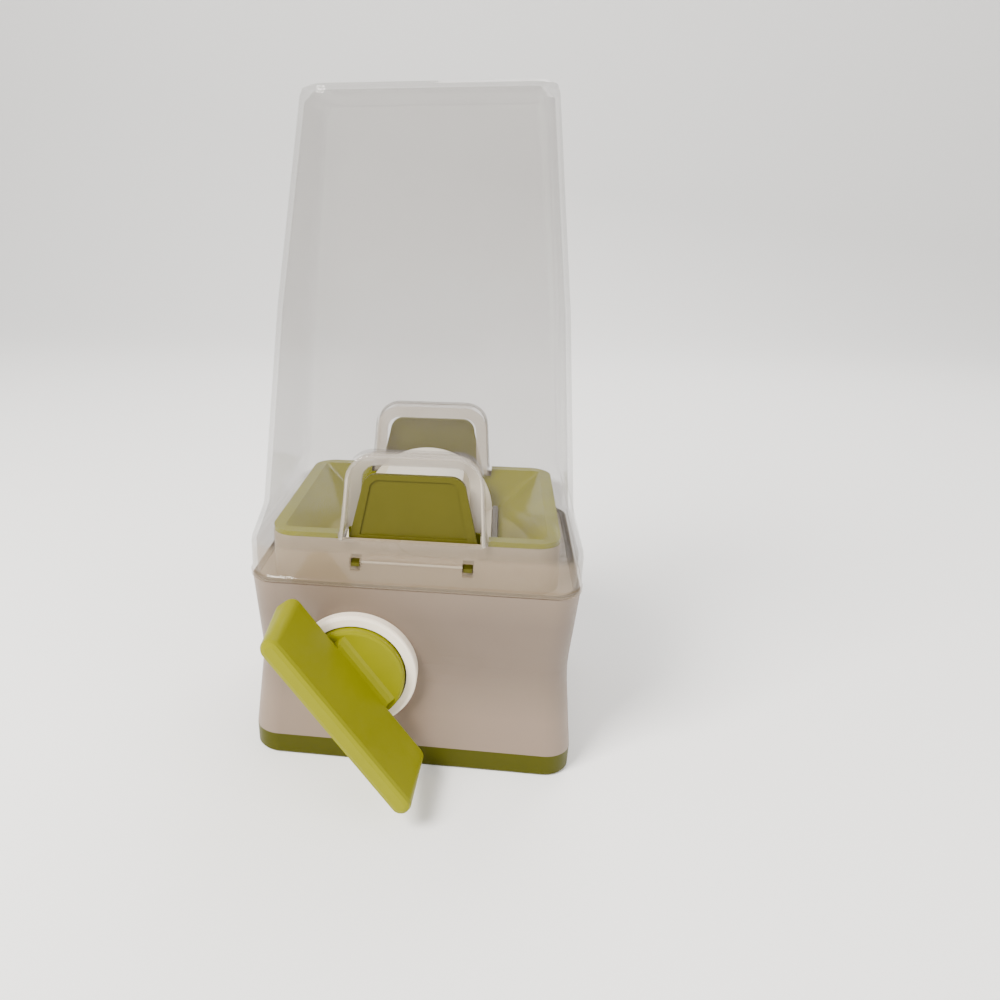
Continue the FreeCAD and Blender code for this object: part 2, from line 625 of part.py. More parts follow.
def build_gear_cover():
    """White cap over the gear pair, domed where it stands up beside the drum."""
    body = gear_plate(-COVER_OUT, -CHEEK_OUT)
    body = body.cut(hull(DRUM_HOUSE, KNOB_HOUSE, -COVER_IN, -CHEEK_OUT + 1.0))
    body = body.cut(rod(KNOB_X, KNOB_Z, KNOB_SHAFT_RADIUS + 0.6, -HY, -CHEEK_OUT))
    for x, z in cover_spots():
        body = body.cut(hex_rod(x, z, SCREW_RADIUS + 0.3, -HY, -CHEEK_OUT + 1.0))
    return body


def build_cover_screws():
    """Screws through the gear cover's ears, with hexagon heads."""
    out = []
    for x, z in cover_spots():
        head = hex_rod(x, z, SCREW_HEAD, -COVER_OUT - SCREW_HEAD_HEIGHT, -COVER_OUT)
        shank = hex_rod(x, z, SCREW_RADIUS, -COVER_OUT, -CHEEK_IN - 0.3)
        out.append(head.fuse(shank).removeSplitter())
    return Part.makeCompound(out)


def gear(teeth, x, z, phase, bore):
    """Spur gear with true flanks, lying in the gear space behind the cover."""
    pitch = GEAR_MODULE * teeth / 2.0
    base = pitch * math.cos(math.radians(20.0))
    tip = pitch + GEAR_MODULE
    root = pitch - 1.25 * GEAR_MODULE
    inv = math.tan(math.radians(20.0)) - math.radians(20.0)
    half = math.pi / (2.0 * teeth) - BACKLASH / (2.0 * pitch)
    start = max(base, root + 0.1)
    flank = []
    for i in range(3):
        rad = start + (tip - start) * i / 2.0
        roll = math.acos(min(1.0, base / rad))
        flank.append((rad, half + inv - (math.tan(roll) - roll)))
    pts = []
    for n in range(teeth):
        mid = phase + 2.0 * math.pi * n / teeth
        pts.append((root, mid - flank[0][1]))
        pts += [(rad, mid - a) for rad, a in flank]
        pts += [(rad, mid + a) for rad, a in reversed(flank)]
        pts.append((root, mid + flank[0][1]))
    pts.append(pts[0])
    ring = [V(x + rad * math.cos(a), -GEAR_Y1, z + rad * math.sin(a)) for rad, a in pts]
    body = Part.Face(Part.makePolygon(ring)).extrude(V(0, GEAR_WIDTH, 0))
    return body.cut(rod(x, z, bore + SEAT_FIT, -HY, 0.0))


def build_gears():
    """Knob gear and drum gear, meshed on their line of centres."""
    line = math.atan2(DRUM_Z - KNOB_Z, DRUM_X - KNOB_X)
    knob = gear(KNOB_GEAR_TEETH, KNOB_X, KNOB_Z, line, KNOB_SHAFT_RADIUS)
    drum = gear(DRUM_GEAR_TEETH, DRUM_X, DRUM_Z, line + math.pi + math.pi / DRUM_GEAR_TEETH, SHAFT_RADIUS)
    return knob, drum


def build_drum():
    """White metering drum: scooped pockets between two closed ends."""
    body = rod(DRUM_X, DRUM_Z, DRUM_RADIUS, -DRUM_HALF, DRUM_HALF)
    away = DRUM_RADIUS - 4.5
    for n in range(DRUM_POCKETS):
        a = math.radians(-90.0) + 2.0 * math.pi * n / DRUM_POCKETS
        x = DRUM_X + away * math.cos(a)
        z = DRUM_Z + away * math.sin(a)
        body = body.cut(rod(x, z, POCKET_RADIUS, -DRUM_HALF + 2.5, DRUM_HALF - 2.5))
    return body.cut(rod(DRUM_X, DRUM_Z, SHAFT_RADIUS + SEAT_FIT, -HY, HY))


def build_drum_shaft():
    """Steel shaft through the drum, its gear and both cheeks."""
    return rod(DRUM_X, DRUM_Z, SHAFT_RADIUS, -GEAR_Y1, CHEEK_OUT - CHEEK_SKIN - 0.1)


def bush(x, z, radius):
    """Plain bush with a six-sided outside that cannot turn in the front cheek."""
    body = hex_rod(x, z, radius + BUSH_WALL, -CHEEK_OUT - BUSH_PROUD, -CHEEK_IN)
    return body.cut(rod(x, z, radius + RUN_FIT, -HY, HY))


def build_rear_bush():
    """Plain bush let into the rear cheek, behind its closed skin."""
    body = hex_rod(DRUM_X, DRUM_Z, SHAFT_RADIUS + BUSH_WALL, CHEEK_IN, CHEEK_OUT - CHEEK_SKIN)
    return body.cut(rod(DRUM_X, DRUM_Z, SHAFT_RADIUS + RUN_FIT, -HY, HY))


def build_knob_shaft():
    """Plain shaft from the knob through its gear and bush to the push-on ring."""
    return rod(KNOB_X, KNOB_Z, KNOB_SHAFT_RADIUS, hub_front() + 3.0, -CHEEK_IN + 2.6)


def build_knob_clip():
    """Push-on ring that keeps the shaft's inner end behind the cheek."""
    y0 = -CHEEK_IN + 0.4
    body = rod(KNOB_X, KNOB_Z, KNOB_SHAFT_RADIUS + 2.2, y0, y0 + 1.0)
    body = body.cut(rod(KNOB_X, KNOB_Z, KNOB_SHAFT_RADIUS + SEAT_FIT, -HY, HY))
    return body.cut(box(KNOB_X - 1.2, KNOB_X + 1.2, -HY, 0.0, KNOB_Z - 12.0, KNOB_Z))


def wall_front():
    """Front of the base's face at its waist."""
    return -(HY - WAIST_INSET)


def collar_front():
    """Front edge of the white ring round the knob."""
    return wall_front() - KNOB_COLLAR_PROUD


def hub_front():
    """Front face of the knob's round hub."""
    return collar_front() - KNOB_HUB_PROUD


def build_knob_collar():
    """White ring round the knob: a turned cup set through the base's front wall."""
    front = collar_front()
    body = dome_rod(KNOB_COLLAR_RADIUS, front, wall_front() + 4.4, KNOB_EDGE)
    body.translate(V(KNOB_X, 0, KNOB_Z))
    body = body.cut(rod(KNOB_X, KNOB_Z, KNOB_HUB_RADIUS + 0.7, front - 1.0, wall_front() + 1.4))
    return body.cut(rod(KNOB_X, KNOB_Z, KNOB_SHAFT_RADIUS + RUN_FIT, -HY - 20.0, 0.0))


def grip_wire(half_len, half_thick, radius, y):
    """Rounded outline of the grip at one depth, upright before it is leaned over."""
    wire = rounded_wire(half_thick, half_len, radius, 0.0)
    wire.rotate(V(0, 0, 0), V(1, 0, 0), 90.0)
    wire.translate(V(0, y, 0))
    return wire


def grip_rows(far, end):
    """Sections of the bar grip from its back face to its front face."""
    half = GRIP_LENGTH / 2.0
    rows = []
    for turn in (90.0, 45.0, 0.0):
        pull = GRIP_ROUND * (1.0 - math.cos(math.radians(turn)))
        depth = GRIP_ROUND * (1.0 - math.sin(math.radians(turn)))
        rows.append((half - pull, GRIP_THICKNESS / 2.0 - pull, GRIP_CORNER - pull, far - depth))
    for turn in (0.0, 45.0, 90.0):
        pull = GRIP_ROUND * (1.0 - math.cos(math.radians(turn)))
        depth = GRIP_ROUND * (1.0 - math.sin(math.radians(turn)))
        rows.append((half - 0.9 - pull, GRIP_EDGE / 2.0 - pull, GRIP_CORNER - pull, end + depth))
    return rows


def build_knob():
    """Lime knob: round hub and a tapered bar grip that grows out of it."""
    front = hub_front()
    hub = dome_rod(KNOB_HUB_RADIUS, front, wall_front() + 0.9, KNOB_EDGE)
    far = front - GRIP_STANDOFF
    end = far - GRIP_REACH
    grip = plain_loft([grip_wire(*row) for row in grip_rows(far, end)])
    long_neck = KNOB_HUB_RADIUS - 4.2
    thick = GRIP_THICKNESS / 2.0
    neck = [(long_neck, thick + 4.0, 0.0, front + 1.0), (long_neck - 0.3, thick + 1.8, 0.0, front - 1.2)]
    neck.append((long_neck - 0.9, thick + 0.4, 0.0, front - 3.4))
    neck.append((long_neck - 1.6, thick - 0.4, 0.0, far - GRIP_ROUND - 1.0))
    blend = plain_loft([grip_wire(*row) for row in neck])
    body = fuse_all([hub, blend, grip])
    body = body.cut(rod(0.0, 0.0, KNOB_SHAFT_RADIUS + SEAT_FIT, front + 3.0, 0.0))
    body.rotate(V(0, 0, 0), V(0, 1, 0), -GRIP_LEAN)
    body.translate(V(KNOB_X, 0, KNOB_Z))
    return body


def plate_side(y_list, z_list):
    """Upright plate from its side outline, as wide as the base."""
    pts = [V(-HX, y, z) for y, z in zip(y_list, z_list)]
    pts.append(pts[0])
    return Part.Face(Part.makePolygon(pts)).extrude(V(2 * HX, 0, 0))


def build_latch():
    """Green press tab with its plate, hook noses and pivot lugs, at the front."""
    t = TAB_THICKNESS
    z_mid = Z_BASE + 6.0
    ys = [-PIN_Y - t / 2.0, -PLATE_LOW_Y, -PLATE_LOW_Y, -PLATE_TOP_Y]
    ys += [-PLATE_TOP_Y + t, -PLATE_LOW_Y + t, -PLATE_LOW_Y + t, -PIN_Y + t / 2.0]
    zs = [PIN_Z, z_mid, Z_COLLAR, Z_TAB]
    side = plate_side(ys, zs + list(reversed(zs)))
    half = TAB_FOOT_WIDTH / 2.0
    low = box(-half, half, -HY, 0.0, PIN_Z - 5.0, Z_COLLAR)
    tab = arch(half, TAB_WIDTH / 2.0, Z_COLLAR, Z_TAB, TAB_CORNER, -HY, 0.0)
    body = side.common(low.fuse(tab).removeSplitter())
    face = arch(half - 4.6, TAB_WIDTH / 2.0 - 3.4, Z_COLLAR + 1.5, Z_TAB - 2.4, TAB_CORNER - 2.4, -HY, 0.0)
    skin = side.copy()
    skin.translate(V(0, 0.6 - t, 0))
    body = body.cut(skin.common(face))
    pieces = [body]
    w = HOOK_WIDTH / 2.0
    for x in (-HOOK_SPREAD, HOOK_SPREAD):
        pieces.append(box(x - w, x + w, -HOOK_TIP, -PLATE_LOW_Y + 0.4, HOOK_Z, HOOK_Z + HOOK_TALL))
    for x0 in (-EAR_X + 0.4, EAR_X - 0.4 - 12.0):
        pieces.append(box(x0, x0 + 12.0, -PIN_Y - 3.4, -PIN_Y + 3.4, PIN_Z - 3.4, PIN_Z + 3.4))
    body = fuse_all(pieces)
    bore = Part.makeCylinder(PIN_RADIUS + RUN_FIT, 2 * HX, V(-HX, -PIN_Y, PIN_Z), V(1, 0, 0))
    body = body.cut(bore)
    window = box(-10.0, 10.0, -HY, 0.0, PIN_Z - 6.0, PIN_Z + 6.5)
    return body.cut(window)


def build_pin():
    """Steel pivot pin of the front latch."""
    half = EAR_X + 2.8
    return Part.makeCylinder(PIN_RADIUS, 2 * half, V(-half, -PIN_Y, PIN_Z), V(1, 0, 0))


def build_spring():
    """Small coil round the front pin, between the latch's two lugs."""
    wire = 0.45
    coil_r = PIN_RADIUS + 0.35 + wire
    turns = 4
    step = 2.3
    steps = 7
    wires = []
    for i in range(turns * steps + 1):
        a = 2.0 * math.pi * i / steps
        x = step * (i / steps - turns / 2.0)
        pts = []
        for n in range(4):
            b = math.radians(90.0 * n)
            r = coil_r + wire * math.cos(b)
            pts.append(V(x + wire * math.sin(b), -PIN_Y + r * math.cos(a), PIN_Z + r * math.sin(a)))
        pts.append(pts[0])
        wires.append(Part.makePolygon(pts))
    return Part.makeLoft(wires, True, True)


def build_chute():
    """Square outlet tube from under the cradle's spout down through the foot."""
    hx = SPOUT_HX - 0.2
    hy = CHEEK_IN - 0.2
    top = DRUM_Z - DRUM_RADIUS - 2.0
    tube = box(-hx, hx, -hy, hy, 1.5, top)
    flange = box(-hx - 7.0, hx + 7.0, -hy - 5.5, hy + 5.5, 4.0, 6.0)
    body = tube.fuse(flange).removeSplitter()
    return body.cut(box(1.8 - hx, hx - 1.8, 1.8 - hy, hy - 1.8, 0.0, top + 1.0))


def build_wipers():
    """Two soft strips that close the gap beside the drum's throat."""
    x0 = DRUM_RADIUS + 0.45
    x1 = CRADLE_HX
    y = DRUM_HALF - 0.5
    top = THROAT_Z + 2.2
    right = box(x0, x1, -y, y, THROAT_Z, top)
    left = box(-x1, -x0, -y, y, THROAT_Z, top)
    return Part.makeCompound([left, right])


def main():
    """Build every piece and write it out."""
    os.makedirs("parts", exist_ok=True)
    save("foot", build_foot())
    save("base_housing", build_base())
    save("base_screws", build_base_screws())
    save("inner_collar", build_collar())
    save("hopper", build_hopper())
    save("hopper_gasket", build_gasket())
    save("funnel_tray", build_tray())
    save("drum_cradle", build_cradle())
    save("cradle_screws", build_cradle_screws())
    save("gear_cover", build_gear_cover())
    save("gear_cover_screws", build_cover_screws())
    save("metering_drum", build_drum())
    save("drum_shaft", build_drum_shaft())
    save("drum_front_bush", bush(DRUM_X, DRUM_Z, SHAFT_RADIUS))
    save("drum_rear_bush", build_rear_bush())
    knob_gear, drum_gear = build_gears()
    save("knob_gear", knob_gear)
    save("drum_gear", drum_gear)
    save("knob", build_knob())
    save("knob_shaft", build_knob_shaft())
    save("knob_bush", bush(KNOB_X, KNOB_Z, KNOB_SHAFT_RADIUS))
    save("knob_clip", build_knob_clip())
    save("knob_collar", build_knob_collar())
    latch = build_latch()
    save("front_latch_tab", latch)
    save("rear_latch_tab", turned(latch))
    pin = build_pin()
    save("front_latch_pin", pin)
    save("rear_latch_pin", turned(pin))
    spring = build_spring()
    save("front_latch_spring", spring)
    save("rear_latch_spring", turned(spring))
    save("outlet_chute", build_chute())
    save("wiper_seals", build_wipers())


main()
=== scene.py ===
"""Looks of a gravity-fed cereal dispenser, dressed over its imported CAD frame.

Metres, +Z up. The front (knob) side looks towards -Y, and the foot stands on z = 0.
"""

import enum
import json
import logging
import math
from dataclasses import dataclass, field
from typing import Iterable, Sequence

import bmesh
import bpy
from mathutils import Matrix, Vector
from mathutils.bvhtree import BVHTree

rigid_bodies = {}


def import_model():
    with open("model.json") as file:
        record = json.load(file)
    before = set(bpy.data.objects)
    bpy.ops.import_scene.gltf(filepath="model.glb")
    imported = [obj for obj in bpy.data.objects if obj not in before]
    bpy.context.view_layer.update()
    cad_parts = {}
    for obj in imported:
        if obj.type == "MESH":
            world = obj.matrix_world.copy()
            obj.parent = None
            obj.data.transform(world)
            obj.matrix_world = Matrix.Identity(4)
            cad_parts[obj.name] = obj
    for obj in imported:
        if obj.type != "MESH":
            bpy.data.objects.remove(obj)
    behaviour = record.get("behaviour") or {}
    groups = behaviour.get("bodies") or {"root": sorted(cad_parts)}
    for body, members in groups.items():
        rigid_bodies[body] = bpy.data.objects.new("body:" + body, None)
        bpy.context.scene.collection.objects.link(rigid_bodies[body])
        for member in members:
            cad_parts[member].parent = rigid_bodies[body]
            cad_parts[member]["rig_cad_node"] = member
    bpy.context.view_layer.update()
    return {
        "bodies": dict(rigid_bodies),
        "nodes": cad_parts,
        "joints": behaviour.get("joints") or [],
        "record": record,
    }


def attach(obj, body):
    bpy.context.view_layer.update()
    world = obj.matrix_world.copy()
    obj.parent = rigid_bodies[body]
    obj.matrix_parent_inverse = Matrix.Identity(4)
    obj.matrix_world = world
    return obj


LOG = logging.getLogger("cereal_dispenser")
Rgb = tuple[float, float, float]
Point = tuple[float, float, float]
MOULDED_IOR = 1.49
SEAL_IOR = 1.45

# Noise fields: cells per metre, octaves, share kept by each finer octave, warp.
FLOW_MARKS = (22.0, 3.0, 0.55, 1.2)
WIPE_MARKS = (70.0, 5.0, 0.6, 0.6)
CLEAR_HAZE = (9.0, 3.0, 0.5, 0.8)
CLEAR_SCUFFS = (160.0, 6.0, 0.65, 0.3)
CLEAR_RIPPLE = (14.0, 2.0, 0.5, 0.4)
SEAL_BLOOM = (180.0, 4.0, 0.6, 0.0)
SEAL_GRAIN = (3000.0, 2.0, 0.5, 0.0)
STEEL_TONE = (300.0, 4.0, 0.6, 0.0)
PAPER_TOOTH = (900.0, 3.0, 0.6, 0.0)


class Gloss(enum.Enum):
    """How shiny a moulding comes out of its tool."""

    SATIN = 0.42
    SEMI = 0.30
    BRIGHT = 0.12


class Facing(enum.Enum):
    """Which side of the dispenser a latch stands on."""

    FRONT = -1.0
    REAR = 1.0


class NodeBench:
    """Small helper that lays out one material's shader nodes."""

    def __init__(self, name: str) -> None:
        """Start an empty material.

        Args:
            name: Name of the material.
        """
        self.material = bpy.data.materials.new(name)
        self.material.use_nodes = True
        self.tree = self.material.node_tree
        self.tree.nodes.clear()
        self.output = self.tree.nodes.new("ShaderNodeOutputMaterial")
        self.shader = self.tree.nodes.new("ShaderNodeBsdfPrincipled")
        self.link(self.shader.outputs["BSDF"], self.output.inputs["Surface"])
        self.place = self.tree.nodes.new("ShaderNodeTexCoord").outputs["Object"]

    def link(self, source: bpy.types.NodeSocket, target: bpy.types.NodeSocket) -> None:
        """Join two sockets.

        Args:
            source: Output socket.
            target: Input socket.
        """
        self.tree.links.new(source, target)

    def value(self, socket: str, amount: float | Sequence[float]) -> None:
        """Set one of the shader's own sockets.

        Args:
            socket: Name of the input.
            amount: Number or colour to set.
        """
        self.shader.inputs[socket].default_value = amount

    def noise(self, scale: float, detail: float = 4.0, rough: float = 0.5,
              warp: float = 0.0) -> bpy.types.NodeSocket:
        """Add a noise field over the object's own space.

        Args:
            scale: Cells per metre.
            detail: Octaves of detail.
            rough: Share kept by each finer octave.
            warp: Distortion of the field.

        Returns:
            The noise's value output.
        """
        node = self.tree.nodes.new("ShaderNodeTexNoise")
        node.inputs["Scale"].default_value = scale
        node.inputs["Detail"].default_value = detail
        node.inputs["Roughness"].default_value = rough
        node.inputs["Distortion"].default_value = warp
        self.link(self.place, node.inputs["Vector"])
        return node.outputs["Fac"]

    def remap(self, source: bpy.types.NodeSocket, low: float, high: float,
              start: float = 0.3, end: float = 0.7) -> bpy.types.NodeSocket:
        """Stretch a value from one range to another.

        Args:
            source: Value to stretch.
            low: Result at the start of the input range.
            high: Result at its end.
            start: Start of the input range.
            end: End of the input range.

        Returns:
            The stretched value.
        """
        node = self.tree.nodes.new("ShaderNodeMapRange")
        node.inputs["From Min"].default_value = start
        node.inputs["From Max"].default_value = end
        node.inputs["To Min"].default_value = low
        node.inputs["To Max"].default_value = high
        self.link(source, node.inputs["Value"])
        return node.outputs["Result"]

    def axis(self, letter: str, folded: bool = False) -> bpy.types.NodeSocket:
        """Give one coordinate of the object's own space.

        Args:
            letter: X, Y or Z.
            folded: Whether both sides of the middle count the same.

        Returns:
            The coordinate in metres, without its sign where it is folded.
        """
        split = self.tree.nodes.new("ShaderNodeSeparateXYZ")
        self.link(self.place, split.inputs["Vector"])
        if not folded:
            return split.outputs[letter]
        size = self.tree.nodes.new("ShaderNodeMath")
        size.operation = "ABSOLUTE"
        self.link(split.outputs[letter], size.inputs[0])
        return size.outputs["Value"]

    def join(self, operation: str, first: bpy.types.NodeSocket,
             second: bpy.types.NodeSocket | float) -> bpy.types.NodeSocket:
        """Combine two values.

        Args:
            operation: Name of the math node's operation.
            first: First value.
            second: Second value, or a plain number.

        Returns:
            The combined value.
        """
        node = self.tree.nodes.new("ShaderNodeMath")
        node.operation = operation
        self.link(first, node.inputs[0])
        if isinstance(second, float):
            node.inputs[1].default_value = second
        else:
            self.link(second, node.inputs[1])
        return node.outputs["Value"]

    def within(self, source: bpy.types.NodeSocket, low: float, high: float,
               soft: float = 0.0008) -> bpy.types.NodeSocket:
        """Give one between two limits and zero outside them, with soft ends.

        Args:
            source: Value to test.
            low: Lower limit.
            high: Upper limit.
            soft: Width of each end.

        Returns:
            The mask.
        """
        rise = self.remap(source, 0.0, 1.0, low - soft, low + soft)
        fall = self.remap(source, 1.0, 0.0, high - soft, high + soft)
        return self.join("MULTIPLY", rise, fall)

    def blend(self, share: bpy.types.NodeSocket, first: Rgb, second: Rgb) -> bpy.types.NodeSocket:
        """Mix two colours by a value.

        Args:
            share: Share of the second colour.
            first: Colour at zero.
            second: Colour at one.

        Returns:
            The mixed colour.
        """
        node = self.tree.nodes.new("ShaderNodeMix")
        node.data_type = "RGBA"
        colours = [s for s in node.inputs if s.type == "RGBA"]
        colours[0].default_value = (*first, 1.0)
        colours[1].default_value = (*second, 1.0)
        self.link(share, node.inputs["Factor"])
        return [s for s in node.outputs if s.type == "RGBA"][0]

    def cover(self, share: bpy.types.NodeSocket, under: bpy.types.NodeSocket,
              colour: Rgb) -> bpy.types.NodeSocket:
        """Lay a colour over another where a mask says so.

        Args:
            share: Mask of the covering colour.
            under: Colour below.
            colour: Covering colour.

        Returns:
            The covered colour.
        """
        top = self.blend(share, colour, colour)
        self.link(under, [s for s in top.node.inputs if s.type == "RGBA"][0])
        return top

    def bump(self, height: bpy.types.NodeSocket, depth: float, strength: float = 1.0) -> None:
        """Feed a height field to the shader's normal.

        Args:
            height: Height field.
            depth: Depth in metres.
            strength: Share of the effect.
        """
        node = self.tree.nodes.new("ShaderNodeBump")
        node.inputs["Strength"].default_value = strength
        node.inputs["Distance"].default_value = depth
        self.link(height, node.inputs["Height"])
        self.link(node.outputs["Normal"], self.shader.inputs["Normal"])


def shade(colour: Rgb, share: float) -> Rgb:
    """Scale a colour towards black or up.

    Args:
        colour: Linear colour.
        share: Factor on every channel.

    Returns:
        The scaled colour.
    """
    return tuple(min(1.0, channel * share) for channel in colour)


@dataclass(frozen=True)
class MouldedPlastic:
    """Opaque injection-moulded plastic with a fine tool grain and faint flow marks; where its
    waist factor is below one, a band of heights is darkened as painted shade.
    """

    name: str
    colour: Rgb
    gloss: Gloss = Gloss.SATIN
    mottle: float = 0.06
    grain: float = 2600.0
    grain_depth: float = 0.00003
    grain_share: float = 0.35
    smoothest: float = 0.86
    roughest: float = 1.18
    coat: float = 0.0
    coat_roughness: float = 0.08
    inner_glow: float = 0.0
    glow_radius: Rgb = (0.004, 0.003, 0.002)
    shine: float = 0.5
    # Painted shade: below one, the colour is darkened by this factor between the two heights
    # below, standing in for shade on the base's waist.
    painted_waist_shade: float = 1.0
    painted_shade_low: float = 0.040
    painted_shade_high: float = 0.088
    painted_shade_soft: float = 0.012
    painted_shade_share: float = 0.9

    def build(self) -> bpy.types.Material:
        """Make the material.

        Returns:
            The finished plastic.
        """
        bench = NodeBench(self.name)
        pale_share = bench.remap(bench.noise(*FLOW_MARKS), 0.0, 1.0)
        dark = shade(self.colour, 1.0 - self.mottle)
        # Painted shade: inside the band of heights the colour falls to the darkened shade, outside
        # it stays pale; flow marks show only faintly either way.
        if self.painted_waist_shade < 1.0:
            painted_waist_mask = bench.within(bench.axis("Z"), self.painted_shade_low, self.painted_shade_high, self.painted_shade_soft)
            dark = shade(self.colour, self.painted_waist_shade)
            faint = bench.join("MULTIPLY", pale_share, 1.0 - self.painted_shade_share)
            pale_share = bench.join("SUBTRACT", faint, bench.join("MULTIPLY", painted_waist_mask, self.painted_shade_share))
            pale_share = bench.join("ADD", pale_share, self.painted_shade_share)
        bench.link(bench.blend(pale_share, dark, shade(self.colour, 1.0 + self.mottle)),
                   bench.shader.inputs["Base Color"])
        wipe = bench.noise(*WIPE_MARKS)
        level = self.gloss.value
        bench.link(bench.remap(wipe, level * self.smoothest, level * self.roughest),
                   bench.shader.inputs["Roughness"])
        bench.bump(bench.noise(self.grain, detail=2.0), self.grain_depth, self.grain_share)
        bench.value("IOR", MOULDED_IOR)
        bench.value("Specular IOR Level", self.shine)
        bench.value("Coat Weight", self.coat)
        bench.value("Coat Roughness", self.coat_roughness)
        if self.inner_glow > 0.0:
            bench.value("Subsurface Weight", self.inner_glow)
            bench.value("Subsurface Radius", self.glow_radius)
            bench.value("Subsurface Scale", 1.0)
        return bench.material


@dataclass(frozen=True)
class NicheShape:
    """Arch of the finger niches, where the hopper's wall turns in."""

    foot_half: float = 0.0307
    top_half: float = 0.0286
    low: float = 0.1130
    top: float = 0.1494
    corner: float = 0.0115
    back: float = 0.0440


@dataclass(frozen=True)
class ClearPlastic:
    """Smoke-tinted clear moulding, frosted at its skirt and round its niches."""

    name: str
    tint: Rgb
    frost: Rgb
    niche: NicheShape = NicheShape()
    veil: float = 0.160
    edge_veil: float = 0.50
    skirt_veil: float = 0.38
    hood_veil: float = 0.62
    hood_width: float = 0.0055
    hood_past: float = 0.0006
    hood_soft: float = 0.0004
    hood_over: float = 0.002
    hood_behind: float = 0.001
    hood_front: float = 0.07
    hood: Rgb = (0.52, 0.46, 0.385)
    brim_veil: float = 0.20
    skirt_top: float = 0.1105
    skirt_soft: float = 0.0045
    brim: float = 0.2925
    brim_soft: float = 0.003
    roughness: float = 0.07
    ripple: float = 0.0005
    ripple_share: float = 0.12
    smoothest: float = 0.7
    roughest: float = 1.6
    haze_tone: float = 0.04
    haze_veil: float = 0.015
    rim_blend: float = 0.30
    rim_start: float = 0.35
    rim_end: float = 0.98
    shine: float = 0.5
    coat: float = 0.35
    coat_roughness: float = 0.03

    def frosting(self, bench: NodeBench) -> bpy.types.NodeSocket:
        """Mask the frosted hoods round both niches.

        Args:
            bench: Material under construction.

        Returns:
            One on the hoods and zero elsewhere.
        """
        shape = self.niche
        height = bench.axis("Z")
        spread = bench.remap(height, shape.foot_half - shape.top_half, 0.0, shape.low, shape.top)
        wide = bench.join("SUBTRACT", bench.axis("X", True), spread)
        past = bench.join("SUBTRACT", wide, shape.top_half - shape.corner)
        past = bench.join("MAXIMUM", past, 0.0)
        above = bench.join("SUBTRACT", height, shape.top - shape.corner)
        above = bench.join("MAXIMUM", above, 0.0)
        squares = bench.join("ADD", bench.join("MULTIPLY", past, past),
                             bench.join("MULTIPLY", above, above))
        inset = bench.join("SUBTRACT", bench.join("SQRT", squares, 0.0), shape.corner)
        arch = bench.within(inset, -self.hood_width, self.hood_past, self.hood_soft)
        tall = bench.within(height, shape.low, shape.top + self.hood_over)
        deep = bench.within(bench.axis("Y", True), shape.back - self.hood_behind, self.hood_front)
        return bench.join("MULTIPLY", bench.join("MULTIPLY", arch, tall), deep)

    def build(self) -> bpy.types.Material:
        """Make the material.

        Returns:
            The finished clear plastic.
        """
        bench = NodeBench(self.name)
        height = bench.axis("Z")
        skirt = bench.remap(height, 1.0, 0.0, self.skirt_top - self.skirt_soft, self.skirt_top)
        hood = self.frosting(bench)
        brim = bench.remap(height, 0.0, 1.0, self.brim, self.brim + self.brim_soft)
        haze = bench.noise(*CLEAR_HAZE)
        patchy = bench.join("ADD", skirt, bench.remap(haze, -self.haze_tone, self.haze_tone))
        rim = bench.tree.nodes.new("ShaderNodeLayerWeight")
        rim.inputs["Blend"].default_value = self.rim_blend
        body = bench.blend(patchy, self.tint, self.frost)
        bench.link(bench.cover(hood, body, self.hood), bench.shader.inputs["Base Color"])
        scuff = bench.noise(*CLEAR_SCUFFS)
        bench.link(bench.remap(scuff, self.roughness * self.smoothest,
                               self.roughness * self.roughest),
                   bench.shader.inputs["Roughness"])
        bench.bump(bench.noise(*CLEAR_RIPPLE), self.ripple, self.ripple_share)
        veil = bench.remap(rim.outputs["Facing"], self.veil, self.edge_veil,
                           self.rim_start, self.rim_end)
        veil = bench.join("ADD", veil, bench.remap(haze, -self.haze_veil, self.haze_veil))
        veil = bench.join("MAXIMUM", veil, bench.join("MULTIPLY", skirt, self.skirt_veil))
        veil = bench.join("MAXIMUM", veil, bench.join("MULTIPLY", hood, self.hood_veil))
        veil = bench.join("MAXIMUM", veil, bench.join("MULTIPLY", brim, self.brim_veil))
        bench.link(veil, bench.shader.inputs["Alpha"])
        bench.value("IOR", MOULDED_IOR)
        bench.value("Specular IOR Level", self.shine)
        bench.value("Coat Weight", self.coat)
        bench.value("Coat Roughness", self.coat_roughness)
        bench.material.surface_render_method = "BLENDED"
        return bench.material


@dataclass(frozen=True)
class SoftSeal:
    """Matt elastomer of a gasket or wiper."""

    name: str
    colour: Rgb
    darkest: float = 0.85
    palest: float = 1.2
    smoothest: float = 0.62
    roughest: float = 0.80
    grain_depth: float = 0.00004
    grain_share: float = 0.5

    def build(self) -> bpy.types.Material:
        """Make the material.

        Returns:
            The finished elastomer.
        """
        bench = NodeBench(self.name)
        bloom = bench.noise(*SEAL_BLOOM)
        bench.link(bench.blend(bench.remap(bloom, 0.0, 1.0), shade(self.colour, self.darkest),
                               shade(self.colour, self.palest)), bench.shader.inputs["Base Color"])
        bench.link(bench.remap(bloom, self.smoothest, self.roughest),
                   bench.shader.inputs["Roughness"])
        bench.bump(bench.noise(*SEAL_GRAIN), self.grain_depth, self.grain_share)
        bench.value("IOR", SEAL_IOR)
        return bench.material


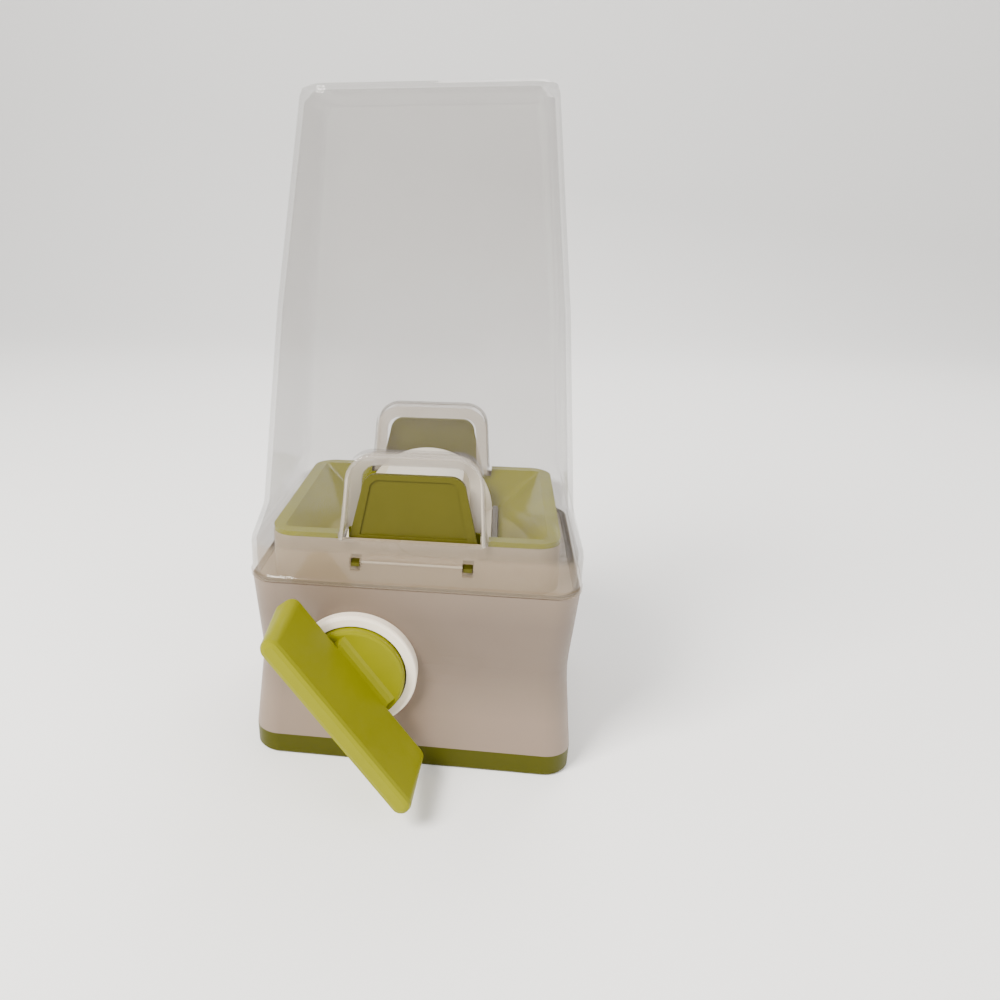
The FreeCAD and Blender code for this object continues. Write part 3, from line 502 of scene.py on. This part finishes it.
@dataclass(frozen=True)
class GroundSteel:
    """Bright steel with fine turning or grinding marks."""

    name: str
    colour: Rgb
    roughness: float = 0.28
    marks: float = 1800.0
    wander: float = 1.5
    darkest: float = 0.88
    palest: float = 1.08
    smoothest: float = 0.8
    roughest: float = 1.3
    mark_depth: float = 0.00001
    mark_share: float = 0.3

    def build(self) -> bpy.types.Material:
        """Make the material.

        Returns:
            The finished steel.
        """
        bench = NodeBench(self.name)
        lines = bench.tree.nodes.new("ShaderNodeTexWave")
        lines.wave_type = "BANDS"
        lines.bands_direction = "Y"
        lines.inputs["Scale"].default_value = self.marks
        lines.inputs["Distortion"].default_value = self.wander
        bench.link(bench.place, lines.inputs["Vector"])
        tone = bench.noise(*STEEL_TONE)
        bench.link(bench.blend(bench.remap(tone, 0.0, 1.0), shade(self.colour, self.darkest),
                               shade(self.colour, self.palest)), bench.shader.inputs["Base Color"])
        bench.link(bench.remap(lines.outputs["Fac"], self.roughness * self.smoothest,
                               self.roughness * self.roughest, 0.0, 1.0),
                   bench.shader.inputs["Roughness"])
        bench.bump(lines.outputs["Fac"], self.mark_depth, self.mark_share)
        bench.value("Metallic", 1.0)
        return bench.material


@dataclass(frozen=True)
class StudioPaper:
    """Pale seamless paper under and behind the dispenser."""

    name: str
    colour: Rgb
    darkest: float = 0.985
    roughness: float = 0.9
    shine: float = 0.15
    tooth_depth: float = 0.00005
    tooth_share: float = 0.2

    def build(self) -> bpy.types.Material:
        """Make the material.

        Returns:
            The finished paper.
        """
        bench = NodeBench(self.name)
        tooth = bench.noise(*PAPER_TOOTH)
        bench.link(bench.blend(bench.remap(tooth, 0.0, 1.0), shade(self.colour, self.darkest),
                               self.colour), bench.shader.inputs["Base Color"])
        bench.value("Roughness", self.roughness)
        bench.value("Specular IOR Level", self.shine)
        bench.bump(tooth, self.tooth_depth, self.tooth_share)
        return bench.material


class FinishBook:
    """Every finish of the dispenser, each built once and handed out by slot."""

    def __init__(self) -> None:
        """Build the finishes."""
        lime = (0.195, 0.195, 0.0)
        lip = (0.40, 0.36, 0.31)
        recipes = {
            # Painted shade: the foot is the knob's lime darkened to about a quarter, standing in
            # for shade at the foot.
            "foot_lime": MouldedPlastic(
                "foot lime plastic", shade(lime, 0.26), shine=0.12),
            # Painted shade: the base's waist is darkened by height to stand in for shade there.
            "base_white": MouldedPlastic(
                "base warm white plastic", (0.198, 0.145, 0.106), mottle=0.03, inner_glow=0.10,
                painted_waist_shade=0.70),
            "collar_white": MouldedPlastic(
                "bright white plastic", (0.90, 0.80, 0.66), Gloss.SEMI, 0.02, inner_glow=0.12),
            "ledge_white": MouldedPlastic(
                "collar warm white plastic", (0.33, 0.262, 0.180), Gloss.SEMI, 0.03),
            "inner_white": MouldedPlastic(
                "inner white plastic", (0.80, 0.71, 0.58), mottle=0.03),
            "drum_white": MouldedPlastic(
                "drum white plastic", (0.95, 0.88, 0.76), mottle=0.02),
            "hopper_clear": ClearPlastic(
                "smoke clear plastic", (0.130, 0.112, 0.094), (0.26, 0.195, 0.125)),
            # Painted highlight: the lip is the hopper's clear plastic made pale and denser,
            # standing in for light caught on the niches' rounded edges.
            "hopper_lip": ClearPlastic(
                "bright lip of clear plastic", lip, lip, veil=0.40, edge_veil=0.85),
            "tray_lime": MouldedPlastic(
                "tray lime plastic", (0.190, 0.185, 0.0), Gloss.BRIGHT, 0.14, coat=0.22,
                shine=0.15),
            # Painted shade and light: the two latch tabs are one lime plastic in two shades, the
            # front tab darkened as painted shade and the rear tab lightened as painted light
            # behind the hopper's walls.
            "tab_lime": MouldedPlastic(
                "tab lime plastic", (0.070, 0.064, 0.004), mottle=0.05, shine=0.12),
            "rear_tab_lime": MouldedPlastic(
                "rear tab lime plastic", (0.185, 0.183, 0.0), mottle=0.05, shine=0.08),
            "knob_lime": MouldedPlastic(
                "knob lime plastic", lime, mottle=0.04, shine=0.16),
            "seal_grey": SoftSeal("seal elastomer", (0.10, 0.09, 0.08)),
            "screw_steel": GroundSteel("zinc-plated screw steel", (0.60, 0.60, 0.58), 0.35),
            "shaft_steel": GroundSteel("ground shaft steel", (0.66, 0.66, 0.65), 0.22),
            "spring_steel": GroundSteel("drawn spring steel", (0.45, 0.45, 0.46), 0.30, 2600.0),
            "bush_grey": MouldedPlastic("bush plastic", (0.10, 0.10, 0.11), Gloss.SEMI),
            "gear_natural": MouldedPlastic(
                "natural gear plastic", (0.70, 0.66, 0.54), Gloss.SEMI, 0.03),
        }
        self.materials = {slot: recipe.build() for slot, recipe in recipes.items()}

    def dress(self, piece: bpy.types.Object, slot: str) -> None:
        """Give a piece one finish all over.

        Args:
            piece: Object to dress.
            slot: Material slot of the record.
        """
        mesh = piece.data
        mesh.materials.clear()
        mesh.materials.append(self.materials[slot])


def sweep(mesh: bmesh.types.BMesh, route: Sequence[Vector], radius: float, sides: int) -> None:
    """Run a round section along a route and close its ends.

    Args:
        mesh: Mesh to add to.
        route: Points of the centre line.
        radius: Radius of the section.
        sides: Sides of the section.
    """
    rings = []
    for place, spot in enumerate(route):
        ahead = route[min(place + 1, len(route) - 1)] - route[max(place - 1, 0)]
        ahead.normalize()
        across = ahead.cross(Vector((0.0, 1.0, 0.0))).normalized()
        out = across.cross(ahead)
        ring = []
        for step in range(sides):
            angle = math.tau * step / sides
            reach = math.cos(angle) * across + math.sin(angle) * out
            ring.append(mesh.verts.new(spot + radius * reach))
        rings.append(ring)
    for low, high in zip(rings, rings[1:]):
        for step in range(sides):
            after = (step + 1) % sides
            mesh.faces.new((low[step], low[after], high[after], high[step]))
    mesh.faces.new(list(reversed(rings[0])))
    mesh.faces.new(rings[-1])


@dataclass
class SubAssembly:
    """Common part of every sub-assembly: its CAD nodes and the finish of each."""

    frame: dict
    book: FinishBook
    title: str = ""
    finishes: dict[str, str] = field(default_factory=dict)
    pieces: list[bpy.types.Object] = field(default_factory=list)

    def dress_nodes(self) -> None:
        """Give every CAD node of this sub-assembly its finish."""
        for node, slot in self.finishes.items():
            self.book.dress(self.frame["nodes"][node], slot)

    def build_extras(self) -> None:
        """Build the meshes that only the scene has; none by default."""

    def make(self) -> None:
        """Dress the nodes, build the extras and report."""
        self.dress_nodes()
        self.build_extras()
        LOG.info("%s: %d nodes dressed, %d pieces added",
                 self.title, len(self.finishes), len(self.pieces))

    def add(self, name: str, mesh: bmesh.types.BMesh, slot: str, body: str,
            smooth: float = 30.0) -> bpy.types.Object:
        """Turn a mesh under construction into a dressed piece that rides on a body.

        Args:
            name: Name of the new object.
            mesh: Mesh under construction; freed here.
            slot: Material slot of the record.
            body: CAD body it rides on.
            smooth: Edge angle in degrees kept sharp.

        Returns:
            The new object.
        """
        bmesh.ops.recalc_face_normals(mesh, faces=mesh.faces)
        data = bpy.data.meshes.new(name)
        mesh.to_mesh(data)
        mesh.free()
        piece = bpy.data.objects.new(name, data)
        bpy.context.scene.collection.objects.link(piece)
        data.shade_smooth()
        data.set_sharp_from_angle(angle=math.radians(smooth))
        self.book.dress(piece, slot)
        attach(piece, body)
        self.pieces.append(piece)
        return piece


@dataclass
class Hopper(SubAssembly):
    """Clear hopper and the soft ring under its skirt."""

    title: str = "hopper"
    finishes: dict[str, str] = field(default_factory=lambda: {
        "hopper": "hopper_clear", "hopper_gasket": "seal_grey"})
    niche: NicheShape = NicheShape()
    lip_radius: float = 0.0008
    lip_sides: int = 8
    lip_smooth: float = 60.0
    ray_start: float = 0.2
    corner_degrees: int = 10

    def arch(self, spread: float) -> list[tuple[float, float]]:
        """Trace a niche's edge from one foot over the top to the other.

        Args:
            spread: How far outside the edge the line runs.

        Returns:
            Points as (x, z) pairs.
        """
        shape = self.niche
        half = shape.top_half + spread
        top = shape.top + spread
        bend = shape.corner
        turn = [(half - bend + bend * math.cos(a), top - bend + bend * math.sin(a))
                for a in (math.radians(d) for d in range(0, 91, self.corner_degrees))]
        foot = (shape.foot_half + spread, shape.low)
        climb = [(foot[0] + (half - foot[0]) * share, foot[1] + (turn[0][1] - foot[1]) * share)
                 for share in (0.0, 0.33, 0.66)]
        right = climb + turn
        middle = [(half * share, top) for share in (0.3, 0.0)]
        return right + middle + [(-x, z) for x, z in reversed(right + middle[:1])]

    def build_extras(self) -> None:
        """Roll a small lip round each niche, on the hopper's own wall, in a pale, denser clear
        finish that paints the highlight along the rounded edge.
        """
        hopper = self.frame["nodes"]["hopper"]
        wall = BVHTree.FromPolygons([v.co for v in hopper.data.vertices],
                                    [tuple(p.vertices) for p in hopper.data.polygons])
        for side in Facing:
            route = []
            inward = Vector((0.0, -side.value, 0.0))
            for x, z in self.arch(self.lip_radius):
                hit = wall.ray_cast(Vector((x, side.value * self.ray_start, z)), inward)[0]
                if hit is not None:
                    route.append(hit)
            mesh = bmesh.new()
            sweep(mesh, route, self.lip_radius, self.lip_sides)
            self.add(side.name.lower() + "_niche_lip", mesh, "hopper_lip", "base", self.lip_smooth)


@dataclass
class Base(SubAssembly):
    """White housing, lime foot, collar and what fastens them."""

    title: str = "base"
    finishes: dict[str, str] = field(default_factory=lambda: {
        "foot": "foot_lime", "base_housing": "base_white", "base_screws": "screw_steel",
        "inner_collar": "ledge_white", "knob_collar": "collar_white",
        "outlet_chute": "inner_white"})
    rib_reach: float = 0.0225
    rib_front: float = 0.0567
    rib_height: float = 0.10195
    rib_radius: float = 0.00055
    rib_sides: int = 8
    rib_smooth: float = 60.0

    def build_extras(self) -> None:
        """Lay a thin bead in the bright collar white on each catch rib of the collar, as a painted
        highlight along the rib.
        """
        for side in Facing:
            line = [Vector((self.rib_reach * share, side.value * self.rib_front, self.rib_height))
                    for share in (-1.0, -0.97, -0.5, 0.0, 0.5, 0.97, 1.0)]
            mesh = bmesh.new()
            sweep(mesh, line, self.rib_radius, self.rib_sides)
            # Painted highlight: the bright white bead stands in for the glint along the rib.
            self.add(side.name.lower() + "_catch_bead", mesh, "collar_white", "base",
                     self.rib_smooth)


@dataclass
class Feed(SubAssembly):
    """Funnel tray, drum, cradle and wipers."""

    title: str = "feed"
    finishes: dict[str, str] = field(default_factory=lambda: {
        "funnel_tray": "tray_lime", "drum_cradle": "inner_white", "cradle_screws": "screw_steel",
        "metering_drum": "drum_white", "wiper_seals": "seal_grey", "gear_cover": "inner_white",
        "gear_cover_screws": "screw_steel"})


@dataclass
class Drive(SubAssembly):
    """Gears, shafts, bushes and clip between knob and drum."""

    title: str = "drive"
    finishes: dict[str, str] = field(default_factory=lambda: {
        "drum_shaft": "shaft_steel", "knob_shaft": "shaft_steel", "drum_gear": "gear_natural",
        "knob_gear": "gear_natural", "drum_front_bush": "bush_grey", "drum_rear_bush": "bush_grey",
        "knob_bush": "bush_grey", "knob_clip": "spring_steel"})


@dataclass
class Knob(SubAssembly):
    """Lime hub and bar grip."""

    title: str = "knob"
    finishes: dict[str, str] = field(default_factory=lambda: {"knob": "knob_lime"})


@dataclass
class Latch(SubAssembly):
    """One release latch with its pin and spring."""

    title: str = "latch"
    facing: Facing = Facing.FRONT

    def __post_init__(self) -> None:
        """Name this latch's nodes."""
        side = self.facing.name.lower()
        self.title = side + " latch"
        # The front tab takes the lime darkened as painted shade, the rear tab the lime lightened
        # as painted light.
        tab_slot = "tab_lime" if self.facing is Facing.FRONT else "rear_tab_lime"
        self.finishes = {side + "_latch_tab": tab_slot, side + "_latch_pin": "shaft_steel",
                         side + "_latch_spring": "spring_steel"}


@dataclass(frozen=True)
class SoftBox:
    """One square soft box that looks at the dispenser."""

    name: str
    place: Point
    size: float
    watts: float
    tint: Rgb

    def hang(self, target: Point) -> None:
        """Hang the box and turn it to its target.

        Args:
            target: Point it looks at.
        """
        lamp = bpy.data.lights.new(self.name, "AREA")
        lamp.shape = "SQUARE"
        lamp.size = self.size
        lamp.energy = self.watts
        lamp.color = self.tint
        box = bpy.data.objects.new(self.name, lamp)
        box.location = self.place
        aim = Vector(target) - Vector(self.place)
        box.rotation_euler = aim.to_track_quat("-Z", "Y").to_euler()
        bpy.context.scene.collection.objects.link(box)


@dataclass
class Studio:
    """Pale seamless floor, soft lights and the camera at the photograph's angle."""

    floor_half: float = 12.0
    bend_start: float = 1.2
    bend_radius: float = 0.8
    bend_degrees: int = 10
    wall_top: float = 3.0
    paper: Rgb = (0.985, 0.985, 0.98)
    middle: Point = (0.0, 0.0, 0.13)
    boxes: tuple[SoftBox, ...] = (
        SoftBox("key box", (-0.75, -0.85, 1.15), 0.6, 52.0, (1.0, 0.965, 0.91)),
        SoftBox("fill box", (1.1, -0.7, 0.7), 0.9, 9.0, (1.0, 0.97, 0.93)),
        SoftBox("back box", (0.3, 1.0, 1.1), 0.8, 13.0, (1.0, 0.98, 0.96)),
    )
    sky_tint: Rgb = (1.0, 0.985, 0.965)
    sky_strength: float = 0.82
    focal_px: float = 834.2
    image_px: float = 1000.0
    centre_px: tuple[float, float] = (373.6, 508.6)
    sensor_mm: float = 36.0
    near_clip: float = 0.01
    eye: Point = (0.0323, -0.3946, 0.2526)
    yaw: float = -8.3
    pitch: float = 20.1

    def build_floor(self) -> None:
        """Lay the floor and curve it up behind the dispenser."""
        mesh = bmesh.new()
        half = self.floor_half
        start = self.bend_start
        radius = self.bend_radius
        rows = []
        profile = [(-half, 0.0), (start, 0.0)]
        step = self.bend_degrees
        profile += [(start + radius * math.sin(a), radius - radius * math.cos(a))
                    for a in (math.radians(d) for d in range(step, 91, step))]
        profile.append((start + radius, self.wall_top))
        for y, z in profile:
            rows.append([mesh.verts.new((x, y, z)) for x in (-half, half)])
        for low, high in zip(rows, rows[1:]):
            mesh.faces.new((low[0], low[1], high[1], high[0]))
        data = bpy.data.meshes.new("studio_paper")
        mesh.to_mesh(data)
        mesh.free()
        data.shade_smooth()
        paper = bpy.data.objects.new("studio_paper", data)
        paper.data.materials.append(StudioPaper("seamless paper", self.paper).build())
        bpy.context.scene.collection.objects.link(paper)

    def build_lights(self) -> None:
        """Hang the soft boxes and set an even pale sky."""
        for box in self.boxes:
            box.hang(self.middle)
        world = bpy.data.worlds.new("studio sky")
        world.use_nodes = True
        sky = world.node_tree.nodes["Background"]
        sky.inputs["Color"].default_value = (*self.sky_tint, 1.0)
        sky.inputs["Strength"].default_value = self.sky_strength
        bpy.context.scene.world = world

    def build_camera(self) -> None:
        """Stand the camera where the photograph was taken from."""
        lens = bpy.data.cameras.new("photo camera")
        lens.sensor_width = self.sensor_mm
        lens.lens = self.focal_px / self.image_px * lens.sensor_width
        lens.shift_x = 0.5 - self.centre_px[0] / self.image_px
        lens.shift_y = self.centre_px[1] / self.image_px - 0.5
        lens.clip_start = self.near_clip
        camera = bpy.data.objects.new("photo camera", lens)
        yaw = math.radians(self.yaw)
        pitch = math.radians(self.pitch)
        ahead = Vector((math.sin(yaw) * math.cos(pitch), math.cos(yaw) * math.cos(pitch),
                        -math.sin(pitch)))
        right = Vector((math.cos(yaw), -math.sin(yaw), 0.0))
        up = right.cross(ahead)
        turn = Matrix((right, up, -ahead)).transposed().to_4x4()
        camera.matrix_world = Matrix.Translation(Vector(self.eye)) @ turn
        bpy.context.scene.collection.objects.link(camera)
        bpy.context.scene.camera = camera

    def make(self) -> None:
        """Build floor, lights and camera."""
        self.build_camera()
        self.build_floor()
        self.build_lights()
        LOG.info("studio: floor, %d soft boxes and camera ready", len(self.boxes))


def report_missing(frame: dict, groups: Iterable[SubAssembly]) -> None:
    """Log any CAD node that no sub-assembly dresses.

    Args:
        frame: The loaded frame.
        groups: Every sub-assembly.
    """
    dressed = {node for group in groups for node in group.finishes}
    for node in sorted(set(frame["nodes"]) - dressed):
        LOG.warning("node %s has no finish", node)


def main() -> None:
    """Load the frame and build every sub-assembly in order."""
    logging.basicConfig(level=logging.INFO, format="%(message)s")
    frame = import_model()
    Studio().make()
    book = FinishBook()
    groups: list[SubAssembly] = [
        Base(frame, book), Feed(frame, book), Drive(frame, book), Knob(frame, book),
        Latch(frame, book, facing=Facing.FRONT), Latch(frame, book, facing=Facing.REAR),
        Hopper(frame, book),
    ]
    for group in groups:
        group.make()
    report_missing(frame, groups)
    LOG.info("sizes written")


if __name__ == "__main__":
    main()
